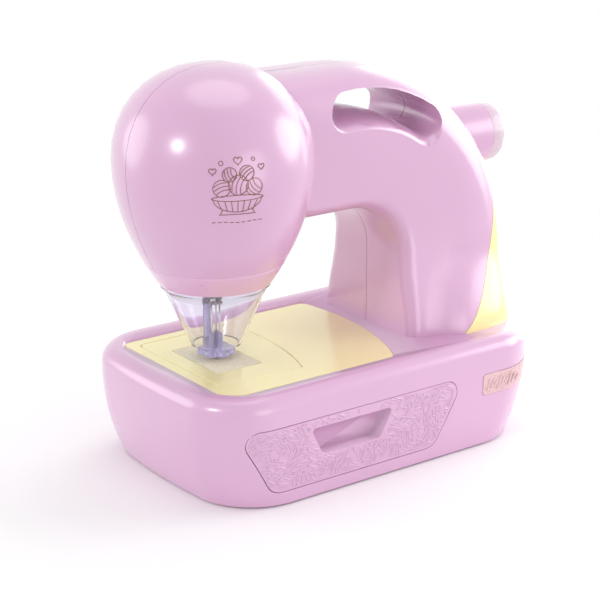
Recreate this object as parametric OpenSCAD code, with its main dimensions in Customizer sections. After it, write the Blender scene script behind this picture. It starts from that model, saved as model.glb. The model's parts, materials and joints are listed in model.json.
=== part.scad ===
// Toy sewing machine with a balloon-shaped head, a carrying handle in its arm, a storage
// drawer in its base and a three-needle felting head driven by a small battery motor.
// The needle side is at -X, the column and hand wheel at +X, the drawer faces -Y.

/* [Base] */
// Length of the base at its corners
base_w = 217; // [210:1:230]
// Depth of the base at its top edge
base_d = 139; // [134:1:146]
// Height of the bed above the table
base_h = 62; // [60:1:70]
// Plan radius of the base corners
base_corner_r = 30; // [26:1:32]
// Outward bow of the two ends
base_bow = 5.5; // [3:0.5:6]
// Inward curve of the two ends at the bottom
base_end_in = 11; // [8:0.5:12]
// Inward curve of the front and the back at the bottom
base_side_in = 3.2; // [2:0.1:5]
// Rounding of the top edge
base_edge_r = 8; // [6:0.5:10]
// Rounding of the bottom edge
base_foot_r = 1.2; // [1:0.1:2]
// Wall of the base shell
base_wall = 2.4; // [2:0.1:3]
// Thickness of the deck under the bed
deck_t = 5; // [4.4:0.1:7]
// Thickness of the bottom plate
bottom_t = 2.4; // [2:0.1:3]
// Height of the rubber feet
foot_h = 0.7; // [0.5:0.1:1.5]
// Radius of the rubber feet
foot_r = 6; // [5:0.5:6.5]

/* [Bed] */
// Thickness of the bed plate
bed_t = 2.3; // [1.8:0.1:2.6]
// Distance of the bed plate's left edge from the end of the base
bed_left_edge = 10.5; // [8.5:0.5:18]
// Distance of the bed plate's front edge from the front of the base
bed_front_edge = 13.5; // [12.5:0.5:19]
// Distance of the bed plate's back edge from the back of the base
bed_back_edge = 22.5; // [17.5:0.5:25]
// Gap between the column and the bed plate
bed_column_gap = 7; // [4:0.5:12]
// Radius of the curved right edge of the bed plate
bed_arc_r = 150; // [130:1:200]
// Width of the needle plate
plate_w = 62; // [56:1:64]
// Distance of the needle plate from the back edge of the bed plate
plate_edge = 7; // [5:0.5:12]
// Width of the felting mat
mat_w = 28; // [22:1:32]
// Depth of the felting mat
mat_d = 44; // [36:1:48]
// Thickness of the felting mat
mat_t = 11; // [9:0.5:13]

/* [Drawer] */
// Distance of the drawer's left end from the end of the base
drawer_left = 14.75; // [14:0.25:24]
// Distance of the drawer's right end from the end of the base
drawer_right = 65.75; // [65:0.25:75]
// How much narrower the drawer front is at its bottom
drawer_taper = 22.5; // [18:0.5:30]
// Height of the drawer front
drawer_h = 36; // [30:1:38]
// Height of the drawer front's lower edge above the table
drawer_z = 9; // [7.5:0.5:11]
// How far the drawer pulls out
drawer_travel = 82; // [62:1:92]
// Wall of the drawer tray
drawer_wall = 2; // [1.6:0.1:3]
// Width of the finger recess at its top
recess_w = 52; // [40:1:60]
// Height of the finger recess
recess_h = 16; // [13:0.5:17]
// Depth of the finger recess
recess_depth = 7; // [5:0.5:7.5]

/* [Arm and column] */
// Distance of the column's left face from the right end of the base
column_end = 74; // [72:0.5:77]
// Straight height of the column above the bed
column_h = 45; // [40:1:52]
// Radius of the throat corner
bend_in_r = 30; // [24:1:34]
// Outer radius of the arch at the top
arch_top_r = 105; // [103:1:110]
// Outer radius of the arch at the side
arch_side_r = 110; // [107:1:112]
// Half thickness of the arm
arm_half = 32; // [28:0.5:34]
// Half thickness of the column's throat face at the bed
column_in_half = 41; // [36:0.5:44]
// Greatest half thickness of the column at the bed
column_half = 52; // [46:0.5:54]
// Inward step of the column's end at the bed
column_tuck = 1.5; // [1:0.5:5]
// Wall of the body shells
shell_wall = 2.4; // [2:0.1:2.8]
// Gap along the seams between the shells
seam_gap = 0.3; // [0.2:0.05:0.5]

/* [Handle] */
// Radius of the handle slot's middle line at the seam
hole_mid_r = 89.5; // [88.5:0.5:90]
// Width of the handle slot at the seam
hole_w = 15; // [14:0.5:16]
// Angle of the slot's lower end
hole_a1 = 57.5; // [56:0.5:62]
// Angle of the slot's upper end
hole_a2 = 96; // [90:1:98]
// How far the slot's floor drops towards the faces of the arm
hole_drop = 9; // [6:0.5:10]
// How far the slot's ceiling drops towards the faces of the arm
hole_brow = 2; // [1:0.5:3]

/* [End cover] */
// Radius of the end cover's curved edge
cover_r = 104; // [101:1:107]
// Top of the end cover above the bed
cover_h = 78; // [70:1:80]

/* [Head] */
// Distance of the needle from the left end of the base
needle_end = 41; // [38:0.5:44]
// Greatest radius of the head
head_r = 52.6; // [50:0.2:54]
// Radius of the head's lower rim
rim_r = 30; // [28.5:0.5:32]
// Height of the lower rim above the bed
rim_h = 43; // [41:0.5:46]
// Height of the head below its widest level
head_low_h = 65; // [63:1:68]
// Height of the head above its widest level
head_top_h = 50; // [49:1:54]
// Height of the rim collar
collar_h = 12; // [9:0.5:14]

/* [Needles] */
// Crank radius, half the needle stroke
crank_r = 6; // [4:0.5:6.5]
// Radius of the needle bar
bar_r = 3; // [2.5:0.1:3.2]
// Distance of each needle from the bar's axis
needle_ring = 2.5; // [2.2:0.1:2.6]
// Radius of a needle
needle_r = 0.45; // [0.3:0.05:0.5]
// Height of the needle tips above the bed at rest
needle_rest = 7; // [6:0.5:9]
// Length of a needle below its holder
needle_len = 25; // [22:0.5:27]
// Gap under the presser foot at rest
foot_gap = 2.5; // [1.5:0.1:4]
// Lift of the presser foot
foot_lift = 4; // [2:0.5:4.5]
// Radius of the presser bar
presser_r = 2; // [1.6:0.1:2.2]
// Distance of the presser bar behind the needle bar
presser_y = 8.5; // [8:0.1:9.5]
// Turns of the presser spring
spring_turns = 6; // [4:1:7]
// Wire of the presser spring
spring_wire = 0.7; // [0.5:0.05:0.8]
// Wall of the clear needle guard
guard_wall = 1.5; // [1.2:0.1:2]
// Radius of the guard's lower mouth
guard_mouth_r = 13.5; // [12.5:0.5:15]
// Height of the guard's lower mouth above the bed
guard_mouth_h = 8; // [7:0.5:10]

/* [Drive] */
// Height of the main shaft above the bed
shaft_h = 98.9; // [97.5:0.1:100]
// Radius of the main shaft
shaft_r = 2.5; // [2:0.1:2.8]
// Gear module
gear_m = 1; // [0.9:0.05:1.05]
// Teeth on the drive gear
drive_teeth = 30; // [26:2:32]
// Teeth on the small idler
idler_small = 12; // [10:2:14]
// Teeth on the large idler
idler_large = 32; // [28:2:32]
// Teeth on the motor pinion
pinion_teeth = 10; // [10:2:12]
// Face width of the gears
gear_w = 6; // [4:0.5:6.5]
// Radius of the motor can
motor_r = 10; // [9:0.5:11]
// Length of the motor can
motor_len = 25; // [22:0.5:26]
// Radius of the hand wheel
wheel_r = 17.5; // [15:0.5:18]
// Length of the hand wheel
wheel_len = 11.5; // [10:0.5:14]
// How far the wheel collar ends inside the arch's outer radius
wheel_inset = 3; // [0:0.5:5]

/* [Battery] */
// Diameter of a battery cell
cell_d = 14.5; // [14:0.1:14.7]
// Length of a battery cell
cell_len = 50.5; // [49.5:0.1:51]
// Distance of the battery box's middle from the right end of the base
battery_end = 42.5; // [41.5:0.5:44]

/* [Hidden] */

eps = 0.01;
big = 600;
fit_gap = 0.3;      // gap between fixed pieces that lie in one another
slide_gap = 0.4;    // gap beside pieces that slide
run_fit = 0.05;     // radial play of a shaft in its bush
mesh_gap = 0.2;     // extra centre distance of two gears

lilac = "#E4BFDC";
cream = "#F3E6AE";
violet = "#A996CC";
steel = "#A9ABB2";
brass = "#C9A95A";
ivory = "#EFEAE0";

bottom_z = foot_h;
floor_z = bottom_z + bottom_t;
deck_z = base_h - deck_t;
edge_z = base_h - base_edge_r;
bed_left = base_w / 2 - bed_left_edge;
bed_front = base_d / 2 - bed_front_edge;
bed_back = base_d / 2 - bed_back_edge;
plate_d = 2 * (bed_back - plate_edge);
drawer_x = (drawer_left - drawer_right) / 2;
drawer_top_w = base_w - drawer_left - drawer_right;
drawer_bottom_w = drawer_top_w - drawer_taper;
battery_x = base_w / 2 - battery_end;
column_x = base_w / 2 - column_end;
bend_x = column_x - bend_in_r;
bend_z = base_h + column_h;
needle_x = needle_end - base_w / 2;
plate_x = needle_x + 7;                 // middle of the needle plate
rim_z = base_h + rim_h;
mid_z = rim_z + head_low_h;
collar_z = rim_z + collar_h;
cover_z = base_h + cover_h;
cover_x = bend_x - 9.5;
shaft_z = base_h + shaft_h;
idler_z = shaft_z - gear_m * (drive_teeth + idler_small) / 2 - mesh_gap;
motor_z = idler_z - gear_m * (idler_large + pinion_teeth) / 2 - mesh_gap;

plate_t = 3;                          // thickness of the two gear frame plates
frame_x = column_x + 31.5;            // left plate of the gear frame
gear_x = frame_x + plate_t + 3;       // drive gear and small idler
large_x = gear_x + gear_w + 2;        // large idler and pinion
frame_x2 = large_x + gear_w + 2;      // right plate of the gear frame
wheel_collar_x = arch_side_r - wheel_inset;
wheel_x = bend_x + wheel_collar_x + 0.6;
wheel_bore = wheel_len - 2.5;           // depth of the shaft in the hand wheel
bush_r = shaft_r + 2;
axle_r = 1.5;
motor_shaft_r = 1;

head_plate_x = needle_x + 20.5;       // upright plate of the head frame
pin_r = 2;
pin_len = 8;
disc_t = 4;
disc_x = head_plate_x - disc_t - 1;
yoke_play = 0.22 * crank_r + slide_gap;
yoke_slot_h = pin_r + yoke_play;
yoke_slot_w = crank_r + pin_r + slide_gap;
yoke_half_h = yoke_slot_h + 3;
yoke_half_w = yoke_slot_w + 3;
yoke_z = shaft_z + crank_r;
stroke = 2 * crank_r;

tip_z = base_h + needle_rest;
holder_z = tip_z + needle_len;
holder_h = 6;
holder_r = needle_ring + needle_r + 0.7;
bar_bottom = holder_z + holder_h;
bar_top = mid_z + head_top_h - shell_wall - 3;
guide_low_z = rim_z + 11;             // lower guide lug of the head frame
guide_t = 6;
lug_z = guide_low_z + guide_t + foot_lift + 10;   // lug above the presser spring
lug_t = 3;
guide_top_z = mid_z + 28;
presser_top = lug_z + lug_t + 2;
flange_t = 3;
flange_z = base_h + foot_gap;
clip_z = guide_low_z + guide_t + fit_gap;
clip_h = 2;
spring_z0 = clip_z + clip_h + 0.05;
spring_z1 = lug_z - 0.05;
spring_r = presser_r + 0.5 + spring_wire / 2;
tube_len = needle_rest - foot_gap + 7;

drawer_back_y = -base_d / 2 + 10;
drawer_depth = drawer_travel + 18;    // what stays in the base when it is pulled out
tray_gap = 1.2;
rail_h = drawer_z + tray_gap - slide_gap - floor_z;
boss_x = base_w / 2 - 19.5;
boss_y = base_d / 2 - 27;
boss_h = 12;
box_wall = 1.6;
box_half_x = cell_d + 1.2 + box_wall;
box_half_y = cell_len + 1 + box_wall;
cell_side = cell_d / 2 + 0.8;         // middle of a cell from the box's middle
cell_z = floor_z + cell_d / 2 + 0.2;
box_top = cell_z + cell_d / 2 + 0.4 + box_wall;
switch_x = column_x - 2;
switch_z = base_h / 2;
switch_y = base_d / 2 - base_side_in - base_wall;
switch_travel = 4;
tag_x = base_w / 2 - 46.5;
tag_y = 31 - base_d / 2;
tag_z = base_h / 2 + 0.3;
tag_h = 12;
tag_sink = 1;
shell_screw_at = [[column_x + 11, base_h + 17], [bend_x + 9, bend_z + bend_in_r + shell_wall + 9],
    [needle_x - 36, mid_z - 4], [needle_x + 33, mid_z + 26]];
pillar_r = 4;
screw_r = 1.4;
screw_head_r = 3;
screw_seat_y = 8;

function mix(a, b, t) = a + (b - a) * t;
function ease(t) = t * t * (3 - 2 * t);

// Closed skin over rings that have the same number of points
module skin(rings) {
    n = len(rings[0]);
    m = len(rings);
    points = [for (ring = rings) each ring];
    sides = [for (i = [0 : m - 2]) for (j = [0 : n - 1])
        let (a = i * n + j, b = i * n + (j + 1) % n)
        each [[a, a + n, b + n], [a, b + n, b]]];
    caps = [[for (j = [0 : n - 1]) j], [for (j = [n - 1 : -1 : 0]) (m - 1) * n + j]];
    polyhedron(points, concat(sides, caps));
}

// Plan outline of the base, drawn in at its ends and at its sides, with its ends bowed outwards
function base_outline(end_in, side_in, corner) =
    let (hx = base_w / 2 - end_in, hy = base_d / 2 - side_in)
    [for (c = [[1, 1, 0], [-1, 1, 90], [-1, -1, 180], [1, -1, 270]])
        let (x = c[0] * (hx - corner), y = c[1] * (hy - corner))
        each concat(
            [for (k = [0 : 8]) let (a = c[2] + 11.25 * k)
                bowed(x + corner * cos(a), y + corner * sin(a), hx, hy)],
            c[0] * c[1] < 0 ? [for (k = [-1 : 1]) bowed(c[0] * hx, -y * k / 2, hx, hy)] : [])];
function bowed(x, y, hx, hy) = [x + sign(x) * base_bow * pow(abs(x) / hx, 4) * (1 - pow(y / hy, 2)), y];
// How far down the wall a level lies, from 0 below the top edge to 1 at the bottom
function wall_share(z) = max(0, edge_z - z) / (edge_z - bottom_z);
function end_in(z) = base_end_in * pow(wall_share(z), 2.3);
function side_in(z) = base_side_in * pow(wall_share(z), 2.9);
function base_ring(off, z) =
    [for (p = base_outline(end_in(z) + off, side_in(z) + off, max(base_corner_r - off, 4)))
        [p[0], p[1], z]];

// Outer form of the base, or a form drawn in by an offset and open below
module base_form(off = 0, top = base_h) {
    edge = max(base_edge_r - off, 1);
    skin(concat(
        off > 0 ? [[for (p = base_ring(off + base_foot_r, bottom_z)) [p[0], p[1], bottom_z - 1]]] : [],
        [for (a = [90 : -30 : 0])
            base_ring(off + base_foot_r * (1 - cos(a)), bottom_z + base_foot_r * (1 - sin(a)))],
        [for (k = [1 : 5]) base_ring(off, mix(bottom_z + base_foot_r, top - edge, k / 6))],
        [for (a = [0 : 18 : 90]) base_ring(off + edge * (1 - cos(a)), top - edge + edge * sin(a))]));
}

// Drawer outline seen from the front: wider at the top, round corners
module drawer_outline(inset) {
    top_r = 7;
    low_r = 9;
    hull() {
        for (s = [-1, 1]) {
            translate([drawer_x + s * (drawer_top_w / 2 - top_r), drawer_z + drawer_h - top_r])
                circle(r = top_r - inset, $fn = 32);
            translate([drawer_x + s * (drawer_bottom_w / 2 - low_r), drawer_z + low_r])
                circle(r = low_r - inset, $fn = 32);
        }
    }
}
module drawer_prism(inset, y0, y1) {
    translate([0, y1, 0]) rotate([90, 0, 0]) linear_extrude(y1 - y0) drawer_outline(inset);
}

// Half of an arm section from its inner to its outer middle, as distance out and half thickness
function half_section(h, inner, outer, corner, crown, power) = concat(
    [for (a = [180 : -30 : 90]) [corner + corner * cos(a), inner - corner + corner * sin(a)]],
    [for (k = [1 : 4]) [mix(corner, h - crown, k / 4), mix(inner, outer, ease(k / 4))]],
    [for (a = [10, 22, 34, 46, 58, 70, 80, 86, 90])
        [h - crown + crown * pow(sin(a), power), outer * pow(max(0, cos(a)), power)]]);
function section_ring(frame, off) =
    let (w = frame[3], a = frame[2],
        far = mix(arch_side_r, arch_top_r, sin(a)) - column_tuck * w - bend_in_r - 2 * off,
        half = half_section(far,
            mix(arm_half - 1, column_in_half, w) - off, mix(arm_half, column_half, w) - off,
            mix(9, 7, w) - off / 2, mix(28, 46, w), mix(0.67, 0.56, w)),
        last = len(half) - 1)
    [for (k = [0 : 2 * last])
        let (p = half[k <= last ? k : 2 * last - k], u = p[0] + off, s = k <= last ? 1 : -1)
        [frame[0] + u * cos(a), s * p[1], frame[1] + u * sin(a)]];
// Frames along the arm: inner point, outward angle, share of the column's flare
arm_frames = concat(
    [for (k = [0 : 3]) [mix(needle_x, bend_x, k / 4), bend_z + bend_in_r, 90, 0]],
    [for (a = [90 : -6 : 0])
        [bend_x + bend_in_r * cos(a), bend_z + bend_in_r * sin(a), a, 0.3 * pow(1 - a / 90, 2.5)]],
    [for (k = [1 : 5]) [column_x, mix(bend_z, base_h, k / 5), 0, 0.3 + 0.7 * ease(k / 5)]]);
module arm_form(off = 0) {
    skirt = [column_x, base_h - base_edge_r * 0.65 - min(off, 1), 0, 1];
    skin([for (f = concat(arm_frames, [skirt])) section_ring(f, off)]);
}

// Radius of the balloon head below its widest level
function head_r_at(z) = head_r - (head_r - rim_r) * pow((mid_z - z) / head_low_h, 1.95);
function head_curve(z0, z1, off, n) =
    [for (k = [0 : n]) let (z = mix(z0, z1, k / n)) [head_r_at(z) - off, z]];
module head_form(off, sides) {
    crown = 0.91;
    translate([needle_x, 0, 0]) rotate_extrude($fn = sides) polygon(concat(
        [[0, collar_z - off]], [[head_r_at(collar_z) - off, collar_z - off]],
        head_curve(collar_z, mid_z, off, 6),
        [for (a = [10 : 10 : 90]) [(head_r - off) * pow(max(0, cos(a)), crown),
            mid_z + (head_top_h - off) * pow(sin(a), crown)]]));
}

// Slot of the handle, grown by an amount: narrow at the seam, with a floor that rounds off to the faces
module handle_level(a, share, y, grow) {
    mid_r = hole_mid_r - share * (hole_drop + hole_brow) / 2;
    translate([bend_x + mid_r * cos(a), y, bend_z + mid_r * sin(a)]) rotate([-90, 0, 0])
        cylinder(r = (hole_w + share * (hole_drop - hole_brow)) / 2 + grow, h = eps, $fn = 24);
}
module handle_part(share1, y1, share2, y2, grow) {
    steps = 7;
    for (k = [0 : steps - 1]) hull() for (j = [0, 1]) let (a = mix(hole_a1, hole_a2, (k + j) / steps)) {
        handle_level(a, share1, y1, grow);
        handle_level(a, share2, y2, grow);
    }
}
module handle_form(grow) {
    face = arm_half + 0.6;
    rows = 5;
    for (side = [0, 1]) mirror([0, side, 0]) {
        handle_part(1, -face - 4, 1, -face, grow);
        for (i = [0 : rows - 1]) let (a = 90 / rows * i, b = 90 / rows * (i + 1))
            handle_part(1 - sin(a), -face * cos(a), 1 - sin(b), -face * cos(b), grow);
    }
}

// Room of the end cover: right of a long curve, below its top edge
module cover_room(gap) {
    difference() {
        translate([0, -big / 2, base_h - 20]) cube([big, big, cover_z - base_h + 20 + gap]);
        translate([cover_x, 0, cover_z]) rotate([90, 0, 0])
            cylinder(r = cover_r - gap, h = big + 2, center = true, $fn = 120);
    }
}

module x_rod(x0, x1, r) {
    translate([x0, 0, 0]) rotate([0, 90, 0]) cylinder(r = r, h = x1 - x0, $fn = 48);
}
module y_rod(y0, y1, r, sides = 32) {
    translate([0, y0, 0]) rotate([-90, 0, 0]) cylinder(r = r, h = y1 - y0, $fn = sides);
}
module z_rod(z0, z1, r) {
    translate([0, 0, z0]) cylinder(r = r, h = z1 - z0, $fn = 48);
}
module box(x0, x1, y0, y1, z0, z1) {
    translate([x0, y0, z0]) cube([x1 - x0, y1 - y0, z1 - z0]);
}

module bed_outline(grow) {
    offset(r = grow + 5, $fn = 48) offset(delta = -5) intersection() {
        translate([-bed_left, -bed_front]) square([bed_left + column_x, bed_front + bed_back]);
        translate([column_x - bed_column_gap - bed_arc_r, bed_back / 3])
            circle(r = bed_arc_r, $fn = 180);
        polygon([for (p = base_ring(base_edge_r + 3, base_h)) [p[0], p[1]]]);
    }
}
module plate_outline(x, w, d, r) {
    translate([x, 0]) {
        square([w - 2 * r, d], center = true);
        square([w, d - 2 * r], center = true);
        for (sx = [-1, 1], sy = [-1, 1]) translate([sx * (w / 2 - r), sy * (d / 2 - r)])
            circle(r = r, $fn = 32);
    }
}

// Needle plate, whose right edge has the curve of the bed's edge
module plate_shape(grow) {
    intersection() {
        plate_outline(plate_x, plate_w + 2 * grow, plate_d + 2 * grow, 4);
        translate([plate_x + plate_w / 2 - bed_arc_r, bed_back / 3])
            circle(r = bed_arc_r + grow, $fn = 180);
    }
}

module base_shell() {
    well_wall = 2;
    color(lilac) difference() {
        union() {
            difference() {
                base_form();
                base_form(base_wall, deck_z);
            }
            // Well that holds the felting mat under the bed
            box(needle_x - mat_w / 2 - well_wall, needle_x + mat_w / 2 + well_wall, -mat_d / 2 - well_wall,
                mat_d / 2 + well_wall, base_h - mat_t - well_wall, deck_z + eps);
            // Flat pad for the power switch on the back wall
            box(switch_x - 13, switch_x + 13, switch_y, base_d / 2 - base_wall / 2,
                switch_z - 7, switch_z + 7);
            // Screw bosses with two ribs each to the walls
            for (sx = [-1, 1], sy = [-1, 1]) {
                translate([sx * boss_x, sy * boss_y, floor_z]) cylinder(r = 3.5, h = boss_h, $fn = 24);
                hull() for (p = [[boss_x, boss_y], [base_w / 2 - base_end_in + 1.8, boss_y]])
                    translate([sx * p[0], sy * p[1], floor_z]) cylinder(r = 0.8, h = boss_h, $fn = 12);
                hull() for (p = [[boss_x, boss_y], [boss_x, boss_y + 14.2]])
                    translate([sx * p[0], sy * p[1], floor_z]) cylinder(r = 0.8, h = boss_h, $fn = 12);
            }
        }
        translate([0, 0, base_h - bed_t]) linear_extrude(bed_t + 1) bed_outline(fit_gap);
        box(needle_x - mat_w / 2 - fit_gap, needle_x + mat_w / 2 + fit_gap, -mat_d / 2 - fit_gap,
            mat_d / 2 + fit_gap, base_h - mat_t, base_h + 1);
        drawer_prism(-slide_gap, -base_d, drawer_back_y);
        difference() {
            tag_room(fit_gap);
            base_form(tag_sink);
        }
        for (sx = [-1, 1], sy = [-1, 1]) translate([sx * boss_x, sy * boss_y, 0])
            cylinder(r = screw_r + 0.2, h = floor_z + boss_h - 1, $fn = 24);
        // Slot of the power switch in the back wall, and the lead hole in the deck
        box(switch_x - 5 - switch_travel / 2, switch_x + 5 + switch_travel / 2, base_d / 4, base_d,
            switch_z - 2.5, switch_z + 2.5);
        translate([column_x + 20, 0, deck_z - 1]) cylinder(r = 4, h = deck_t + 2, $fn = 24);
    }
}

module bottom_plate() {
    color(lilac) difference() {
        union() {
            translate([0, 0, bottom_z]) linear_extrude(bottom_t)
                polygon([for (p = base_ring(base_foot_r + base_wall + fit_gap, bottom_z)) [p[0], p[1]]]);
            // Two rails that carry the drawer
            for (s = [-1, 1]) translate([drawer_x + s * (drawer_bottom_w / 2 - 14), 0, 0])
                box(-3, 3, drawer_back_y + 2, drawer_back_y + drawer_depth, floor_z - eps, floor_z + rail_h);
        }
        for (sx = [-1, 1], sy = [-1, 1]) translate([sx * boss_x, sy * boss_y, 0]) {
            z_rod(0, base_h / 2, screw_r + fit_gap);
            z_rod(0, bottom_z + 1.4, screw_head_r + fit_gap);
        }
        box(battery_x - box_half_x, battery_x + box_half_x, -box_half_y, box_half_y, 0, base_h / 2);
    }
}

// Four feet near the ends and one under the middle
module rubber_feet() {
    x = boss_x + 1.5;
    y = boss_y - 17;
    color("#8C8790") for (p = [[-x, -y], [x, -y], [-x, y], [x, y], [0, 0]]) translate(p)
        z_rod(0, foot_h, foot_r);
}

module bed_plate() {
    color(cream) difference() {
        translate([0, 0, base_h - bed_t]) linear_extrude(bed_t) bed_outline(0);
        translate([0, 0, base_h - bed_t - 1]) linear_extrude(bed_t + 2) plate_shape(fit_gap);
    }
}

module needle_plate() {
    color(cream) translate([0, 0, base_h - bed_t]) linear_extrude(bed_t) difference() {
        plate_shape(0);
        plate_outline(needle_x, mat_w + 2 * fit_gap, mat_d + 2 * fit_gap, 1.5);
    }
}

module felting_mat() {
    color(ivory) difference() {
        translate([0, 0, base_h - mat_t]) linear_extrude(mat_t) plate_outline(needle_x, mat_w, mat_d, 1.5);
        // Clear shafts below the three needles
        needle_places() z_rod(tip_z - stroke - 1, base_h + 1, needle_r + slide_gap);
    }
}

// Room of the tag on the front wall and round the corner
module tag_room(grow) {
    r = 2;
    hull() for (z = [tag_z + r, tag_z + tag_h - r]) {
        translate([tag_x + r, 0, z]) y_rod(-base_d, tag_y + grow, r + grow, 24);
        translate([base_w - r, 0, z]) y_rod(-base_d, tag_y + grow, r + grow, 24);
    }
}
module tag_plate() {
    waves = 9;
    color("#E6C9CA") difference() {
        intersection() {
            union() {
                base_form(-0.3);
                // Raised wavy lines over the face of the tag
                for (k = [0 : waves - 1]) let (x = tag_x + 4 + 2.6 * k, z = tag_z + tag_h / 2) hull()
                    for (s = [-1, 1]) translate([x + s, 0, z + s * (tag_h / 2 - 3 - k % 3)])
                        y_rod(-base_d / 2 - 0.6, -base_d / 2 + 2, 0.5, 8);
            }
            tag_room(0);
            box(0, base_w, -base_d, tag_y, tag_z, tag_z + tag_h);
        }
        base_form(tag_sink);
    }
}

module drawer_front() {
    recess_x = drawer_x - 3.5;
    recess_z = drawer_z + drawer_h - recess_h - 5;
    color(lilac) difference() {
        intersection() {
            drawer_prism(0, -base_d, drawer_back_y);
            base_form();
        }
        // Finger recess, narrower at its bottom
        hull() for (s = [-1, 1]) {
            translate([recess_x + s * (recess_w / 2 - 2), 0, recess_z + recess_h - 2])
                y_rod(-base_d, -base_d / 2 + recess_depth + 1, 2, 24);
            translate([recess_x + s * (recess_w / 2 - 9), 0, recess_z + 3])
                y_rod(-base_d, -base_d / 2 + recess_depth + 1, 3, 24);
        }
    }
}

module drawer_tray() {
    color(ivory) difference() {
        drawer_prism(tray_gap, drawer_back_y, drawer_back_y + drawer_depth);
        drawer_prism(tray_gap + drawer_wall, drawer_back_y + drawer_wall,
            drawer_back_y + drawer_depth - drawer_wall);
        box(drawer_x - drawer_top_w, drawer_x + drawer_top_w, drawer_back_y - 1,
            drawer_back_y + drawer_depth + 1, drawer_z + drawer_h - 8, base_h);
    }
}

module body_form() {
    head_form(0, 72);
    arm_form();
    // Collar that the hand wheel turns against
    translate([0, 0, shaft_z]) x_rod(bend_x + wheel_collar_x - 32, bend_x + wheel_collar_x, wheel_r + 0.5);
}
module body_cavity() {
    difference() {
        union() {
            head_form(shell_wall, 40);
            arm_form(shell_wall);
            translate([0, 0, shaft_z]) x_rod(bend_x + wheel_collar_x - 34,
                bend_x + wheel_collar_x - shell_wall, wheel_r + 0.5 - shell_wall);
        }
        handle_form(shell_wall);
        for (p = shell_screw_at) translate([p[0], 0, p[1]]) y_rod(-big / 8, big / 8, pillar_r, 24);
    }
}
// One half of the body: the front for side -1, the rear for side 1
module body_shell(side) {
    difference() {
        body_form();
        body_cavity();
        handle_form(0);
        base_form();
        cover_room(seam_gap / 2);
        translate([0, 0, shaft_z]) x_rod(bend_x + wheel_collar_x - 10, bend_x + wheel_collar_x + 1,
            shaft_r + 1);
        for (p = shell_screw_at) translate([p[0], 0, p[1]]) {
            y_rod(-screw_seat_y - 4, big / 8, screw_r + 0.25, 24);
            y_rod(screw_seat_y, big / 8, screw_head_r + 0.4, 24);
        }
        translate([-big / 2, side < 0 ? -seam_gap / 2 : seam_gap / 2 - big, -big / 2]) cube(big);
    }
}
module front_shell() {
    color(lilac) body_shell(-1);
}
module rear_shell() {
    color(lilac) body_shell(1);
}

module end_cover() {
    rib_y = column_half * 0.5;
    color(cream) difference() {
        union() {
            intersection() {
                difference() {
                    arm_form();
                    arm_form(shell_wall);
                }
                cover_room(-seam_gap / 2);
            }
            // Inner ribs that stiffen the cover
            intersection() {
                arm_form();
                cover_room(-seam_gap / 2 - 3);
                for (s = [-1, 1], k = [0 : 3]) hull() for (x = [-9, 2])
                    translate([bend_x + arch_side_r + x, s * rib_y * (1 - k / 5), base_h + 8 + 16 * k])
                        sphere(r = 1, $fn = 8);
            }
        }
        base_form();
    }
}

module head_collar() {
    groove = 0.4;
    color("#EBCFE2") translate([needle_x, 0, 0]) rotate_extrude($fn = 96) polygon(concat(
        head_curve(rim_z, collar_z - groove, 0, 4),
        [[head_r_at(collar_z) - groove, collar_z]],
        head_curve(collar_z, rim_z, shell_wall, 4)));
}

module needle_guard() {
    mouth_z = base_h + guard_mouth_h;
    color("#E8E4F2", 0.5) translate([needle_x, 0, 0]) rotate_extrude($fn = 96) polygon([
        [guard_mouth_r - guard_wall, mouth_z], [guard_mouth_r, mouth_z],
        [rim_r - 2, rim_z - 2], [rim_r - 0.5, rim_z - 1.2], [rim_r - 0.5, rim_z],
        [rim_r - 2 - guard_wall, rim_z], [rim_r - 2 - guard_wall, rim_z - 2]]);
}

// Places of the three needles round the bar
module needle_places() {
    for (k = [0 : 2]) translate([needle_x, 0, 0]) rotate(53 + 120 * k)
        translate([needle_ring, 0, 0]) children();
}

module head_frame() {
    half = yoke_half_w + 0.5;
    left = needle_x - 8;
    color(ivory) difference() {
        union() {
            box(head_plate_x, head_plate_x + plate_t, -half, half, guide_low_z, guide_top_z + 5);
            box(left, head_plate_x + eps, -half, half, guide_low_z, guide_low_z + guide_t);
            box(left, head_plate_x + eps, presser_y - 4, half, lug_z, lug_z + lug_t);
            box(left, head_plate_x + eps, -half, half, guide_top_z, guide_top_z + 5);
            // Foot on the floor of the arm
            box(head_plate_x, bend_x, -half, half, bend_z + bend_in_r + shell_wall,
                bend_z + bend_in_r + shell_wall + 3);
        }
        translate([needle_x, 0, 0]) z_rod(rim_z, mid_z + head_top_h, bar_r + run_fit);
        translate([needle_x, presser_y, 0]) z_rod(rim_z, shaft_z, presser_r + run_fit);
        translate([0, 0, shaft_z]) x_rod(head_plate_x - 1, head_plate_x + plate_t + 1, bush_r);
    }
}

module gear_frame() {
    stem = 14;
    head = bush_r + 4;
    color(ivory) difference() {
        union() {
            for (x = [frame_x, frame_x2]) {
                box(x, x + plate_t, -stem, stem, base_h, idler_z + 8);
                box(x, x + plate_t, -head, head, base_h, shaft_z);
                translate([0, 0, shaft_z]) x_rod(x, x + plate_t, head);
            }
            box(frame_x, frame_x2 + plate_t, -stem, stem, base_h, base_h + 3);
        }
        translate([0, 0, shaft_z]) x_rod(frame_x - 1, frame_x2 + plate_t + 1, bush_r);
        translate([0, 0, idler_z]) x_rod(frame_x - 1, frame_x2 + plate_t + 1, axle_r);
        translate([0, 0, motor_z]) x_rod(frame_x - 1, frame_x + plate_t + 1, 3.2);
    }
}

module shaft_bushes() {
    color(brass) translate([0, 0, shaft_z]) for (x = [head_plate_x, frame_x, frame_x2]) difference() {
        x_rod(x, x + plate_t, bush_r);
        x_rod(x - 1, x + plate_t + 1, shaft_r + run_fit);
    }
}

module main_shaft() {
    color(steel) translate([0, 0, shaft_z]) x_rod(disc_x, wheel_x + wheel_bore, shaft_r);
}

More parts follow.
